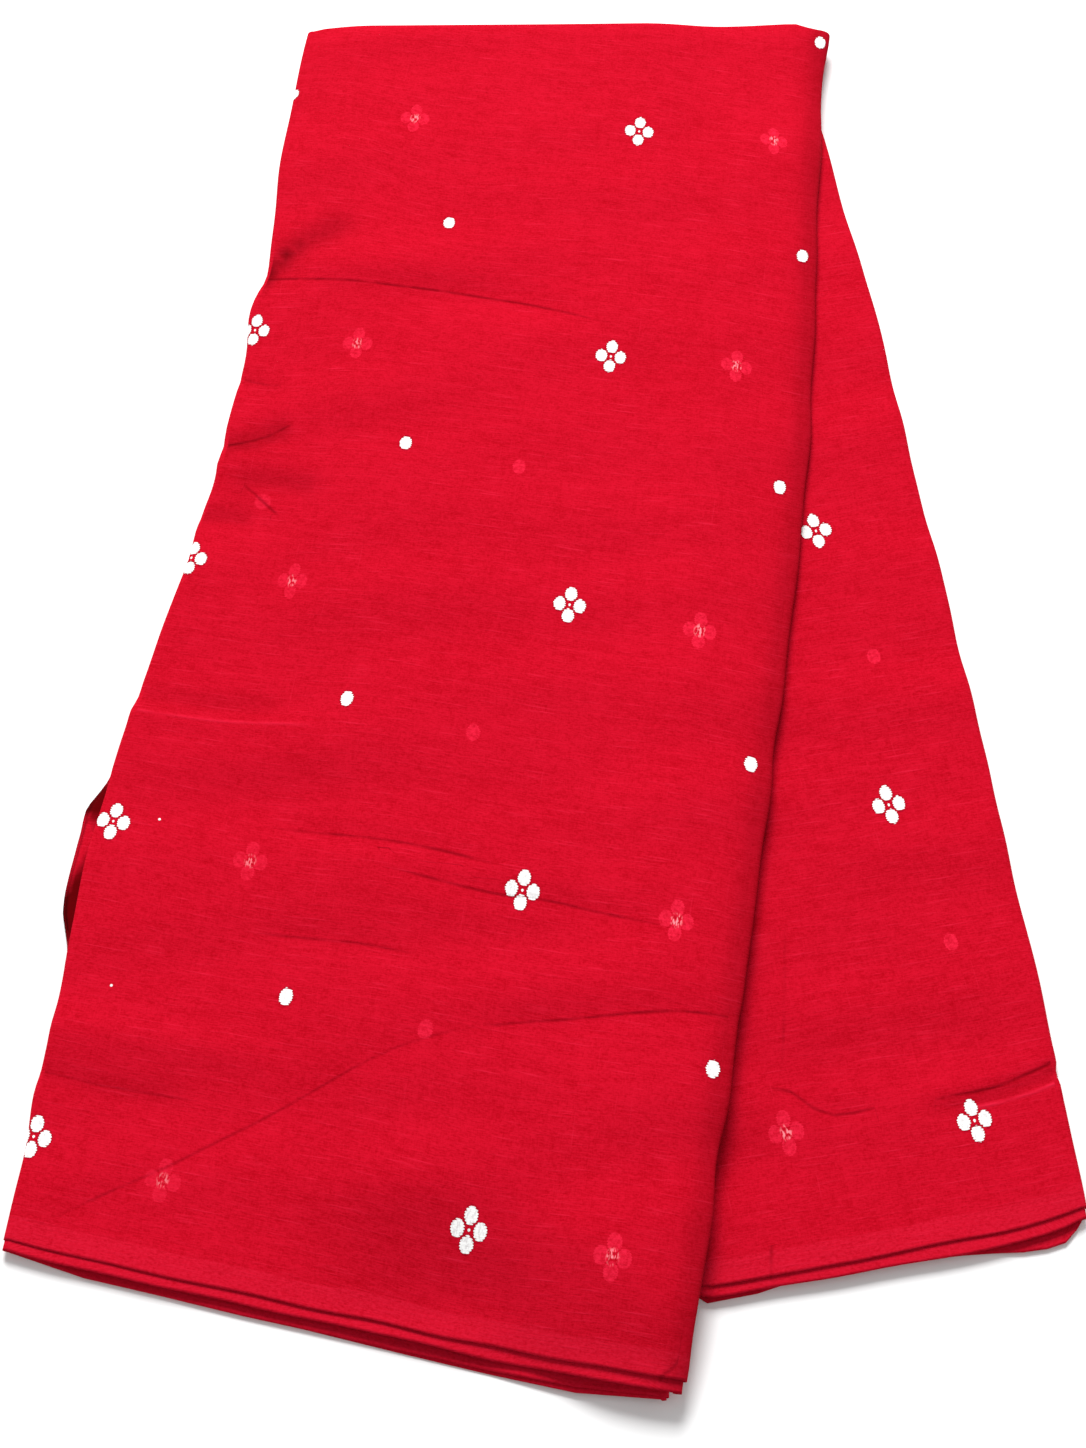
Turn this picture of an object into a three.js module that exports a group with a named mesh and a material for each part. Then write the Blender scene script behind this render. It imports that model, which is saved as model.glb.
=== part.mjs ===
import * as THREE from 'three';

// A length of red jamdani cotton, folded and laid down. Millimetres, +Z up.
// The cloth is doubled across its width: the doubling fold is the far edge (+Y) and
// both selvedges lie together at the near edge (-Y). The doubled strip is then folded
// back and forth into panels, and the panels are fanned about the far right corner.
// The whole is one woven sheet, so it is one solid.

// Cloth
const PLY = 1.0; // thickness of one ply
const PLY_GAP = 0.3; // air between the two plies of a panel
const PANEL_GAP = 0.7; // air between two panels that lie on each other
const DOUBLED = 2 * PLY + PLY_GAP;
const LEVEL = DOUBLED + PANEL_GAP;
const FOLD_SWELL = 1.1; // how much further out than up a side fold bulges

// Drape of a panel over the edge of one that lies beneath it
const SIDE_MARGIN = 8;
const SIDE_DRAPE = 60;
const END_MARGIN = 8;
const END_DRAPE = 48;
const TUCK_DRAPE = 36; // the same beside the narrow tuck

// Fineness of the surface
const ROWS = 16; // rows of points in a ply, from its far fold to its selvedge
const ROW_CROWDING = 0.7; // 0 spaces the rows evenly, 1 crowds them at both ends
const HANG_POWER = 8; // how late down a column a selvedge's own hang begins
const BOW_POWER = 8; // how evenly a sagging selvedge lies between its ends
const FAR_FOLD_STEPS = 4;
const SIDE_FOLD_STEPS = 4;

// The lines on which the strip folds or ends, seen from above. top is the end at the
// doubling fold and bottom the end at the selvedges. outward is the side to which a
// fold bulges. ease rounds the far corner, drawUp shortens the near end where it lies
// hidden, and outer and inner are how far each ply's selvedge hangs past the line.
const LINES = {
  tuckEnd: {
    topX: 109,
    topY: 288.5,
    bottomX: 33,
    bottomY: -276,
    outward: -1,
    ease: 0,
    drawUp: 0,
    outer: 0,
    inner: 0,
  },
  frontRight: {
    topX: 119.5,
    topY: 290.3,
    bottomX: 42.6,
    bottomY: -284,
    outward: 1,
    ease: 8,
    drawUp: 0,
    outer: 0,
    inner: 4,
  },
  frontLeft: {
    topX: -99.5,
    topY: 287.5,
    bottomX: -180.2,
    bottomY: -235,
    outward: -1,
    ease: 3,
    drawUp: 0,
    outer: 1.5,
    inner: 5,
  },
  skew: {
    topX: 33,
    topY: 288,
    bottomX: 38.5,
    bottomY: -284,
    outward: 1,
    ease: 2,
    drawUp: 0,
    outer: 6,
    inner: 3,
  },
  innerLeft: {
    topX: -66,
    topY: 270,
    bottomX: -30,
    bottomY: -266,
    outward: -1,
    ease: 2,
    drawUp: 56,
    outer: 0,
    inner: 0,
  },
  innerEnd: {
    topX: -58,
    topY: 269,
    bottomX: -22,
    bottomY: -265,
    outward: -1,
    ease: 2,
    drawUp: 56,
    outer: 0,
    inner: 0,
  },
  sideRight: {
    topX: 110,
    topY: 274,
    bottomX: 182.7,
    bottomY: -229,
    outward: 1,
    ease: 6,
    drawUp: 0,
    outer: 0,
    inner: -3.5,
  },
};

// Soft waves of a fold line: out is how far it swings outward.
const EDGE_WAVES = [
  { line: 'frontLeft', at: 0.3, out: -10, spread: 0.13 },
  { line: 'frontLeft', at: 0.47, out: -5.5, spread: 0.07 },
  { line: 'frontLeft', at: 0.73, out: 5.5, spread: 0.11 },
  { line: 'frontRight', at: 0.55, out: 6.5, spread: 0.3 },
  { line: 'sideRight', at: 0.27, out: 3.5, spread: 0.12 },
  { line: 'sideRight', at: 0.53, out: 4, spread: 0.17 },
  { line: 'sideRight', at: 0.8, out: 2.5, spread: 0.12 },
];

// The panels in the strip's order, each from its first line to its last one, by way
// of the lines that lie hidden beneath it. steps are its columns between those lines,
// stack its place counted up from the surface, facing 1 where its outer ply is above,
// evenOut the share of its width over which a drawn up end evens out, and the bows
// are how far each ply's selvedge sags at mid panel.
const PANELS = [
  {
    name: 'tuck',
    through: ['tuckEnd', 'frontRight'],
    steps: [2],
    stack: 4,
    facing: -1,
    evenOut: 1,
    outerBow: 0,
    innerBow: 0,
  },
  {
    name: 'front',
    through: ['frontRight', 'skew', 'innerLeft', 'frontLeft'],
    steps: [4, 4, 5],
    stack: 5,
    facing: 1,
    evenOut: 1,
    outerBow: 1,
    innerBow: 1,
  },
  {
    name: 'frontUnder',
    through: ['frontLeft', 'innerLeft', 'skew'],
    steps: [5, 4],
    stack: 3,
    facing: -1,
    evenOut: 1,
    outerBow: 4.5,
    innerBow: 3,
  },
  {
    name: 'turnBack',
    through: ['skew', 'innerLeft'],
    steps: [4],
    stack: 2,
    facing: 1,
    evenOut: 1,
    outerBow: 0,
    innerBow: 0,
  },
  {
    name: 'side',
    through: ['innerLeft', 'sideRight'],
    steps: [9],
    stack: 1,
    facing: -1,
    evenOut: 0.42,
    outerBow: 6.5,
    innerBow: 3.5,
  },
  {
    name: 'sideUnder',
    through: ['sideRight', 'innerEnd'],
    steps: [10],
    stack: 0,
    facing: 1,
    evenOut: 0.42,
    outerBow: 4.5,
    innerBow: 7.5,
  },
];

// The front's left fold bulges out, rounder than elsewhere, part of the way down.
const BULGE = { line: 'frontLeft', at: 0.73, out: 4.3, spread: 0.065 };
// Places where the lowest selvedge slips out further, at a share of its panel's width.
const LIPS = [
  { panel: 'sideUnder', at: 0.61, out: 4.5, spread: 0.06 },
  { panel: 'sideUnder', at: 0.08, out: 5, spread: 0.09 },
];

const { lerp, clamp, smoothstep } = THREE.MathUtils;
const bell = (offset, spread) => Math.exp(-((offset / spread) ** 2));
const fadeOut = (share) => 1 - smoothstep(share, 0, 1);

// Where a line passes at a given y, with its waves.
function lineXAt(name, y) {
  const line = LINES[name];
  const t = (line.topY - y) / (line.topY - line.bottomY);
  const waves = EDGE_WAVES.filter((wave) => wave.line === name);
  const swing = waves.reduce((sum, wave) => sum + wave.out * bell(t - wave.at, wave.spread), 0);
  return lerp(line.topX, line.bottomX, t) + line.outward * swing;
}

// How far a panel's near end is drawn up at share f of its width.
function drawUp(panel, f) {
  const first = LINES[panel.through[0]].drawUp * fadeOut(f / panel.evenOut);
  const last = LINES[panel.through.at(-1)].drawUp * fadeOut((1 - f) / panel.evenOut);
  return first + last;
}

// 1 wherever a panel lies, sinking softly to 0 past its edges.
function cover(panel, x, y) {
  const names = [panel.through[0], panel.through.at(-1)];
  const [a, b] = names.map((name) => LINES[name]);
  const [ax, bx] = names.map((name) => lineXAt(name, y));
  const f = clamp((x - ax) / (bx - ax), 0, 1);
  const drape = panel.name === 'tuck' ? TUCK_DRAPE : SIDE_DRAPE;
  const sidePast = Math.max(Math.min(ax, bx) - x, x - Math.max(ax, bx));
  const farPast = y - lerp(a.topY, b.topY, f);
  const nearPast = lerp(a.bottomY, b.bottomY, f) + drawUp(panel, f) - y;
  const side = fadeOut((sidePast - SIDE_MARGIN) / drape);
  const far = fadeOut((farPast - END_MARGIN) / END_DRAPE);
  const near = fadeOut((nearPast - END_MARGIN) / END_DRAPE);
  return side * far * near;
}

// Height of a panel's middle: it rests on every panel that lies beneath it there.
function height(panel, x, y) {
  const beneath = PANELS.filter((other) => other.stack < panel.stack);
  return DOUBLED / 2 + LEVEL * beneath.reduce((sum, other) => sum + cover(other, x, y), 0);
}

// How far down its column a row of one ply lies, as a share of the column's length.
function rowPlace(place, row, inner) {
  const { panel, f, topF, length } = place;
  const a = LINES[panel.through[0]];
  const b = LINES[panel.through.at(-1)];
  const width = Math.abs(a.topX - b.topX);
  const easing = a.ease * fadeOut((topF * width) / (3 * a.ease + 1));
  const otherEasing = b.ease * fadeOut(((1 - topF) * width) / (3 * b.ease + 1));
  const crowded = row - (ROW_CROWDING * Math.sin(2 * Math.PI * row)) / (2 * Math.PI);
  const common = lerp(easing + otherEasing, length - drawUp(panel, f), crowded);
  const hang = inner ? lerp(a.inner, b.inner, f) : lerp(a.outer, b.outer, f);
  const bow = inner ? panel.innerBow : panel.outerBow;
  const lips = LIPS.filter((lip) => inner && lip.panel === panel.name);
  const slipped = lips.reduce((sum, lip) => sum + lip.out * bell(f - lip.at, lip.spread), 0);
  const sag = bow * (1 - (2 * f - 1) ** BOW_POWER);
  return (common + (hang + sag + slipped) * row ** HANG_POWER) / length;
}

// The column that lies at share g between two lines, cut off at a panel's own ends.
function makeColumn(panel, from, to, g) {
  const a = LINES[panel.through[0]];
  const b = LINES[panel.through.at(-1)];
  const xAt = (y) => lerp(lineXAt(from, y), lineXAt(to, y), g);
  const topShare = (xAt(a.topY) - a.topX) / (b.topX - a.topX);
  const bottomShare = (xAt(a.bottomY) - a.bottomX) / (b.bottomX - a.bottomX);
  const topY = lerp(a.topY, b.topY, topShare);
  const bottomY = lerp(a.bottomY, b.bottomY, bottomShare);
  const length = Math.hypot(xAt(topY) - xAt(bottomY), topY - bottomY);
  const farWay = new THREE.Vector3(xAt(topY) - xAt(bottomY), topY - bottomY, 0).normalize();
  return { panel, xAt, topY, bottomY, length, farWay, f: bottomShare, topF: topShare, turn: 0 };
}

function panelColumns(panel) {
  const columns = [makeColumn(panel, panel.through[0], panel.through[1], 0)];
  panel.steps.forEach((steps, span) => {
    for (let step = 1; step <= steps; step += 1) {
      columns.push(makeColumn(panel, panel.through[span], panel.through[span + 1], step / steps));
    }
  });
  return columns;
}

// Places along the strip: the columns of each panel, and the turns between panels.
function stripPlaces() {
  const places = [];
  PANELS.forEach((panel, index) => {
    const columns = panelColumns(panel);
    places.push(...columns);
    for (let step = 1; step < SIDE_FOLD_STEPS && index + 1 < PANELS.length; step += 1) {
      places.push({ ...columns.at(-1), turn: step / SIDE_FOLD_STEPS, next: PANELS[index + 1] });
    }
  });
  return places;
}

// Places across the cloth: up one ply, round the doubling fold, down the other ply.
function widthPlaces() {
  const places = [];
  for (let row = ROWS - 1; row >= 0; row -= 1) {
    places.push({ row: row / (ROWS - 1), round: 0 });
  }
  for (let step = 1; step < FAR_FOLD_STEPS; step += 1) {
    places.push({ row: 0, round: (Math.PI * step) / FAR_FOLD_STEPS });
  }
  for (let row = 0; row < ROWS; row += 1) {
    places.push({ row: row / (ROWS - 1), round: Math.PI });
  }
  return places;
}

// Middle of the doubled strip and the direction of its outer ply, at one place.
function middle(place, t) {
  const { panel, turn, next } = place;
  const y = lerp(place.topY, place.bottomY, t);
  const x = place.xAt(y);
  const level = height(panel, x, y);
  if (turn === 0) {
    return { centre: new THREE.Vector3(x, y, level), outerWay: new THREE.Vector3(0, 0, panel.facing) };
  }
  const nextLevel = height(next, x, y);
  const radius = Math.abs(level - nextLevel) / 2;
  const rise = Math.sign(level - nextLevel);
  const angle = Math.PI * turn;
  const line = panel.through.at(-1);
  const sideways = new THREE.Vector3(place.farWay.y, -place.farWay.x, 0);
  sideways.multiplyScalar(LINES[line].outward);
  const bulge = line === BULGE.line ? BULGE.out * bell(t - BULGE.at, BULGE.spread) : 0;
  const centre = new THREE.Vector3(x, y, (level + nextLevel) / 2);
  centre.addScaledVector(sideways, (FOLD_SWELL * radius + bulge) * Math.sin(angle));
  centre.z += rise * radius * Math.cos(angle);
  const outerWay = new THREE.Vector3(0, 0, panel.facing * Math.cos(angle));
  outerWay.addScaledVector(sideways, panel.facing * rise * Math.sin(angle));
  return { centre, outerWay };
}

// One point of the cloth's skin. side is 1 on its outer skin and -1 on its inner one.
function skinPoint(place, across, side) {
  const t = rowPlace(place, across.row, across.round > Math.PI / 2);
  const { centre, outerWay } = middle(place, t);
  const reach = (PLY_GAP + PLY + side * PLY) / 2;
  centre.addScaledVector(outerWay, reach * Math.cos(across.round));
  return centre.addScaledVector(place.farWay, reach * Math.sin(across.round));
}

// The sheet as a closed skin: a loop round its section at every place of the strip,
// joined loop to loop, with the strip's two cut ends closed.
function clothGeometry() {
  const along = stripPlaces();
  const across = widthPlaces();
  const span = across.length;
  const loop = 2 * span;
  const positions = [];
  along.forEach((place) => {
    across.forEach((spot) => positions.push(...skinPoint(place, spot, 1).toArray()));
    [...across].reverse().forEach((spot) => positions.push(...skinPoint(place, spot, -1).toArray()));
  });
  const faces = [];
  for (let s = 0; s + 1 < along.length; s += 1) {
    for (let q = 0; q < loop; q += 1) {
      const next = (q + 1) % loop;
      const [p0, p1] = [s * loop + q, s * loop + next];
      // Every face is split the same way as seen from above, so the plies lie parallel.
      const towardNear = q % span >= span / 2;
      const slanted = towardNear === (along[s].panel.facing < 0);
      if (slanted) {
        faces.push(p0, p1, p1 + loop, p0, p1 + loop, p0 + loop);
      } else {
        faces.push(p0, p1, p0 + loop, p1, p1 + loop, p0 + loop);
      }
    }
  }
  const last = (along.length - 1) * loop;
  for (let q = 0; q + 1 < span; q += 1) {
    const [outer, inner] = [q, loop - 1 - q];
    faces.push(outer, inner, inner - 1, outer, inner - 1, outer + 1);
    faces.push(last + outer, last + inner - 1, last + inner);
    faces.push(last + outer, last + outer + 1, last + inner - 1);
  }
  const geometry = new THREE.BufferGeometry();
  geometry.setAttribute('position', new THREE.Float32BufferAttribute(positions, 3));
  geometry.setIndex(faces);
  geometry.computeBoundingBox();
  const centre = geometry.boundingBox.getCenter(new THREE.Vector3());
  geometry.translate(-centre.x, -centre.y, 0);
  geometry.computeVertexNormals();
  return geometry;
}

const redCotton = new THREE.MeshStandardMaterial({ color: 0xc8102a, roughness: 0.86, metalness: 0 });
const cloth = new THREE.Mesh(clothGeometry(), redCotton);
cloth.name = 'folded_cloth';

const group = new THREE.Group();
group.add(cloth);

export default group;
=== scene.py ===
import math
import bpy
import numpy as np
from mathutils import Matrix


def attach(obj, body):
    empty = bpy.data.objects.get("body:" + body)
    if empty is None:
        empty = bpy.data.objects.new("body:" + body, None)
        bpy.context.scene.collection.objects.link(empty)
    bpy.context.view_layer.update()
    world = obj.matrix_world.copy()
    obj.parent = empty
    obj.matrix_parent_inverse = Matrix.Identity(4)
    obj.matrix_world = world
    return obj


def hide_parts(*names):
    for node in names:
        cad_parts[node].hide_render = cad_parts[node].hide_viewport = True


# A length of red jamdani cotton. It is doubled across its width, folded back and forth into
# panels that fan from one corner, and laid on a pale table. The sheet is worked out in
# millimetres on the folds of the solid and turned into metres once, when its mesh is made.

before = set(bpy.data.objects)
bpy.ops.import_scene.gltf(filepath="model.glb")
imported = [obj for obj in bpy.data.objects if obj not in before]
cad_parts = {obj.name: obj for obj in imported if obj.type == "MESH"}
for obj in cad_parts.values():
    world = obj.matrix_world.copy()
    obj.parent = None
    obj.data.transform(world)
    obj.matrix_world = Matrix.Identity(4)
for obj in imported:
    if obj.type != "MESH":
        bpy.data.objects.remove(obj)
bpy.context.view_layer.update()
print("solid loaded")

cloth = {
    "thickness": 0.35,
    "plySpacing": 1.3,  # between the middles of a panel's two plies
    "panelSpacing": 3.08,  # between the middles of two panels that lie on each other
    "centre": (0.97, 0.21),  # where the fold lines below have the middle of the solid
    "sideMargin": 8,  # a panel stays level this far past the edge of one beneath it
    "sideDrape": 60,  # and then sinks over this distance
    "tuckDrape": 36,
    "endMargin": 8,
    "endDrape": 48,
    "easeReach": 3,  # a far corner is rounded over this many times its ease
    "sagPower": 4,  # how evenly a drawn-in far fold lies between its ends
    "hangPower": 8,  # how late down a column a selvedge's own hang begins
    "bowPower": 8,  # how evenly a sagging selvedge lies between its ends
    "closePower": 8,  # how late down a column the two plies close up
    "lipStart": 0.025,  # the lips begin over this share of a panel's width
    "rows": 168,  # rows of points in a ply, from the far fold to its selvedge
    "farSteps": 9,  # steps round the far fold
}
# Unevenness of a selvedge, to either side of its line: so many sines, each with a height and
# with a turn and a start picked from these ranges.
ripples = {"count": 6, "high": 0.11, "turn": (5, 40), "start": (0, 6)}

# How the rows share out the length of a ply: few where it is smooth, many where it is creased.
rowShares = {"row": (0, 0.05, 0.34, 0.95, 1), "length": (0, 0.015, 0.42, 0.985, 1)}


def foldLine(far, near, outward, ease=0, drawUp=0, outer=0, inner=0, swell=1.1):
    return dict(far=far, near=near, outward=outward, ease=ease, drawUp=drawUp, outer=outer,
                inner=inner, swell=swell)


# Where the strip folds or ends, seen from above: the end at the doubling fold and the end at
# the selvedges. outward is the side to which the fold bulges. ease rounds the far corner,
# drawUp shortens a hidden near end, outer and inner let each ply's selvedge hang past the line,
# swell is how much further out than up the fold bulges.
foldLines = {
    "tuckEnd": foldLine((109, 288.5), (33, -276), -1),
    "frontRight": foldLine((117.4, 290.3), (41.3, -284), 1, ease=3.5, inner=4, swell=2.2),
    "frontLeft": foldLine((-99.5, 287.5), (-180.2, -235), -1, ease=0.8, outer=1.5, inner=5),
    "skew": foldLine((33, 288), (38.5, -284), 1, ease=2, outer=5.2, inner=4.4),
    "innerLeft": foldLine((-66, 270), (-30, -266), -1, ease=2, drawUp=56),
    "innerEnd": foldLine((-58, 269), (-22, -265), -1, ease=2, drawUp=56),
    "sideRight": foldLine((110, 274), (182.4, -229), 1, ease=6, inner=-3.5),
}

# Soft waves of a fold line: how far it swings outward, and at which share of its length.
edgeWaves = [
    {"line": "frontLeft", "at": 0.3, "out": -10, "spread": 0.13},
    {"line": "frontLeft", "at": 0.33, "out": 2.4, "spread": 0.06},
    {"line": "frontLeft", "at": 0.47, "out": -5.5, "spread": 0.07},
    {"line": "frontLeft", "at": 0.73, "out": 5.5, "spread": 0.11},
    {"line": "frontLeft", "at": 0.275, "out": 4.2, "spread": 0.032},
    {"line": "frontLeft", "at": 0.466, "out": 3.2, "spread": 0.026},
    {"line": "frontLeft", "at": 0.905, "out": 2, "spread": 0.03},
    {"line": "frontRight", "at": 0.4, "out": 10.6, "spread": 0.26},
    {"line": "frontRight", "at": 0.74, "out": 5.2, "spread": 0.22},
    {"line": "sideRight", "at": 0.27, "out": 3.5, "spread": 0.12},
    {"line": "sideRight", "at": 0.53, "out": 4, "spread": 0.17},
    {"line": "sideRight", "at": 0.66, "out": 1.2, "spread": 0.04},
    {"line": "sideRight", "at": 0.8, "out": 2.5, "spread": 0.12},
]
# Here the near left fold gapes: its lower half slips out as a flap beneath the front's edge.
# at counts down the fold, out is how far it slips and dark how far round the fold the painted
# shade of the hollow between edge and flap reaches. flap and groove are where round the fold
# it slips most and least, and over how much.
pocket = {
    "line": "frontLeft",
    "at": (0.67, 0.684, 0.697, 0.706, 0.716, 0.735, 0.75, 0.763, 0.776, 0.795, 0.806),
    "out": (0, 2.6, 5.6, 5.5, 4.9, 4.7, 5, 5.2, 4.7, 1.6, 0),
    "dark": (0.85, 0.85, 0.75, 0.55, 0.42, 0.52, 0.6, 0.66, 0.8, 0.95, 0.95),
    "flap": (0.7, 0.15),
    "groove": (0.47, 0.1),
    "grooveShare": 0.75,
    "darkSlip": 2,  # the hollow's painted shade is full where the fold slips at least this far
    "darkFrom": (0.4, 0.08),  # where round the fold it begins, and over how much
    "darkFade": 0.1,
}
# The front and its tuck sink towards their common fold, by down and over wide, and painted
# shade darkens the front beside that rounded fold, by shade over shadeWide.
foldDroop = {"line": "frontRight", "down": 1.25, "wide": 6, "shade": 0.3, "shadeWide": 4}

# The panels in the strip's order. stack counts up from the table, facing is 1 where the outer
# ply is above, columns are its stations, turns the steps of the fold that follows it, closed
# how much of the space between its plies is lost at the selvedges, at its two lines, evenOut
# the share of its width over which a drawn-up end evens out. farSag draws the middle of its
# far fold in, and crowd gathers its stations towards its first line.
panels = [
    {"name": "tuck", "from": "tuckEnd", "to": "frontRight", "stack": 4, "facing": -1, "columns": 3,
     "turns": 10, "closed": (0.3, 0.15), "evenOut": 1, "outerBow": 0, "innerBow": 0},
    {"name": "front", "from": "frontRight", "to": "frontLeft", "stack": 5, "facing": 1, "columns": 44,
     "turns": 13, "closed": (0.15, 0.65), "evenOut": 1, "outerBow": 1, "innerBow": 1, "farSag": 1.8},
    {"name": "frontUnder", "from": "frontLeft", "to": "skew", "stack": 3, "facing": -1, "columns": 8,
     "turns": 6, "closed": (0.65, 0.3), "evenOut": 1, "outerBow": 4.5, "innerBow": 3},
    {"name": "turnBack", "from": "skew", "to": "innerLeft", "stack": 2, "facing": 1, "columns": 3,
     "turns": 3, "closed": (0.3, 0.3), "evenOut": 1, "outerBow": 0, "innerBow": 0},
    {"name": "side", "from": "innerLeft", "to": "sideRight", "stack": 1, "facing": -1, "columns": 30,
     "turns": 7, "closed": (0.3, 0.45), "evenOut": 0.42, "outerBow": 4.9, "innerBow": 3},
    {"name": "sideUnder", "from": "sideRight", "to": "innerEnd", "stack": 0, "facing": 1, "columns": 16,
     "turns": 0, "closed": (0.45, 0.3), "evenOut": 0.42, "outerBow": 3.5, "innerBow": 5, "crowd": 1.6},
]

# Places where the lowest selvedges slip out further: the outer and the inner ply's, at a share
# of the panel's width.
lips = [
    {"panel": "sideUnder", "at": 0.61, "out": (0, 4.5), "spread": 0.06},
    {"panel": "sideUnder", "at": 0.05, "out": (5, 6), "spread": 0.13},
]

# The woven repeat. A panel's place in it is a smooth function of the place on the panel, as
# the cloth lies a little skewed and bowed: cells = at + x*perX + y*perY + x*y*twist + y*y*bow.
# beneath is how many cells the ply that glimmers through is set off.
repeat = {"across": 147, "down": 116}
lie = {
    "front": {"panel": "front", "inner": False, "at": (0.9385, 2.033), "perX": (0.00667, -0.00146),
              "perY": (-0.00097, -0.00849), "twist": (7.9e-7, 1.07e-6), "bow": (2.1e-7, -7.8e-7),
              "beneath": (0.335, 0.03)},
    "side": {"panel": "side", "inner": True, "at": (-0.747, 0.194), "perX": (0.006694, 0.001465),
             "perY": (0.001215, -0.008216), "twist": (0, 0), "bow": (0, 0),
             "beneath": (-0.44, -0.03)},
}
# Hand weaving: cells whose motif lies off its place in the even repeat, by millimetres across
# and down. Each fades out over the spread.
drift = {
    "spread": 40,
    "front weave": [(0, 0, 8, 5.8), (0, 1, -2.9, -3.9), (0, 2, -0.3, 1.3), (0, 3, 2.8, 3.2),
                    (1, 1, -1.3, -1.1), (1, 4, -2.1, -3.3), (0.5, 0.46, -0.6, -7.5),
                    (0.5, 1.46, -0.5, -1.6), (0.5, 2.46, 1.9, 1.1), (0.5, 3.46, 0.9, 1.5),
                    (1.5, 1.46, 0.3, 3.5), (1.5, 3.46, 0.4, 1.3)],
    "front beneath": [(0, 0, -2.2, -2.9), (0, 1, 2.6, -6), (0, 2, 8.8, 0), (0, 4, 3.2, -2.7),
                      (1, 0, -8.8, 9.3), (1, 1, -2.2, 6.4), (1, 3, -5.3, 1.4),
                      (0.5, 1.46, 3.4, -2.1), (0.5, 2.46, 2.9, -2.4)],
    "side weave": [(0, 0, -1, -2.1), (0, 1, -0.7, -0.5), (0, 2, -1, -1.8)],
    "side beneath": [(0, 2, -1, 1.8), (0.5, 0.46, -1.2, -8.6), (0.5, 1.46, -0.7, -5.6)],
}


def creaseLine(panel, line, high, wide, dark=0, step=0, shade=0, layer=0):
    return dict(panel=panel, line=line, high=high, wide=wide, dark=dark, step=step, shade=shade,
                layer=layer)


# Creases: their line from left to right or down, how high (or deep, below 0) and wide they
# lie, and how dark the painted shade of their sharp line is (below 0 it is a painted highlight).
# A step stays high on the far side, like a pleat, and a shade is painted shade over the whole
# width. Lines that lie close together are on different layers. A line may run on past the cloth's edge.
creases = [
    creaseLine("front", [(-150, 166), (-113, 159.5), (-92, 156), (-66, 150.5), (-40, 147.5), (0, 139.5),
                         (34, 128)], -0.6, 4.5, dark=1),
    creaseLine("front", [(-137, 141), (-114.5, 160), (-100, 175), (-73, 187)], -0.9, 6, shade=0.34),
    creaseLine("front", [(-128, 144), (-115, 159), (-108.6, 168.5), (-98, 178)], -0.4, 2.4, shade=0.5),
    creaseLine("front", [(-131, 112.5), (-120, 110.5), (-111.5, 107.5), (-102, 106)], -0.5, 3, dark=0.5,
               shade=0.1),
    creaseLine("front", [(-115, 167), (-80, 160), (-30, 155), (30, 142), (60, 134)], 0.5, 8),
    creaseLine("front", [(-141, 73), (-131, 77.5), (-122, 80), (-113, 81.5), (-105, 85), (-97, 89)],
               -0.9, 4.5, dark=1, shade=0.42),
    creaseLine("front", [(-140, 66), (-124, 73), (-112, 75), (-98, 77)], 0.8, 4),
    creaseLine("front", [(-126, 60), (-112, 63), (-100, 61), (-84, 57)], -0.7, 4.5, shade=0.24),
    creaseLine("front", [(-120, 63), (-114, 57.5), (-106.5, 49.5), (-102, 45)], 0.5, 3, dark=0.9,
               layer=1),
    creaseLine("front", [(-145, 46), (-128, 47.5), (-111, 45)], -0.5, 3.5, shade=0.22),
    creaseLine("front", [(-172, -27), (-142, -33), (-118, -36), (-92, -38)], -0.6, 4.5, shade=0.15),
    creaseLine("front", [(-176, -33), (-150, -38), (-122, -42.5), (-102, -43.5), (-80, -46)], 0.7, 4,
               dark=-0.5),
    creaseLine("front", [(-103, -85), (-71, -91), (-52, -95), (-34, -99), (-14, -105)], -0.65, 4.5,
               dark=0.95),
    creaseLine("front", [(-62, -103), (-34, -111), (-15, -116), (0, -117), (48, -130)], -0.65, 4.5,
               dark=0.85),
    creaseLine("front", [(-104, -126), (-68, -132), (-44, -138)], -0.55, 4.5, dark=0.7),
    creaseLine("front", [(-190, -158), (-139, -166), (-88, -173)], 0.9, 7),
    creaseLine("front", [(-196, -172), (-157, -182), (-118, -189)], -0.7, 5, dark=0.5, shade=0.12),
    creaseLine("front", [(74, -163), (54, -160), (36, -160), (8, -162), (-14, -163.5), (-32, -166.5)],
               -0.65, 4.5, dark=1),
    creaseLine("front", [(-18, -163), (-36, -167), (-55, -173), (-73, -182), (-99, -196), (-118, -206),
                         (-136, -216), (-151, -221), (-164, -229), (-180, -236)], -0.5, 5, dark=0.65),
    creaseLine("front", [(50, -268), (47, -274), (42, -281), (34, -286)], 0.3, 3, dark=0.6),
    creaseLine("side", [(76, -184), (84, -184), (88, -187), (92, -191), (99, -194), (106, -193),
                        (118, -190)], -0.6, 3.5, dark=0.85),
    creaseLine("side", [(129, -190), (139, -187), (156, -184), (165, -180), (172, -177), (205, -160)],
               0.3, 3, dark=1, step=0.9),
    creaseLine("side", [(128, -194), (147, -188.5), (163, -184), (180, -177), (205, -164)], -0.7, 3,
               shade=0.22),
    creaseLine("side", [(138, -191.5), (147, -191), (159, -188.5), (170, -185), (205, -170)], 0.4, 3,
               dark=-0.8, layer=1),
    creaseLine("side", [(86, -120), (85, -142), (84, -160), (82, -182)], 0.35, 4, dark=0.4, layer=1),
    creaseLine("side", [(76.5, -236), (75.5, -252)], 0.3, 3, dark=0.7),
    creaseLine("side", [(66, -105), (75, -125), (90, -155), (94, -180)], 0.7, 9),
    creaseLine("side", [(100, -105), (112, -129), (145, -174), (160, -205)], -0.6, 11),
]
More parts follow.
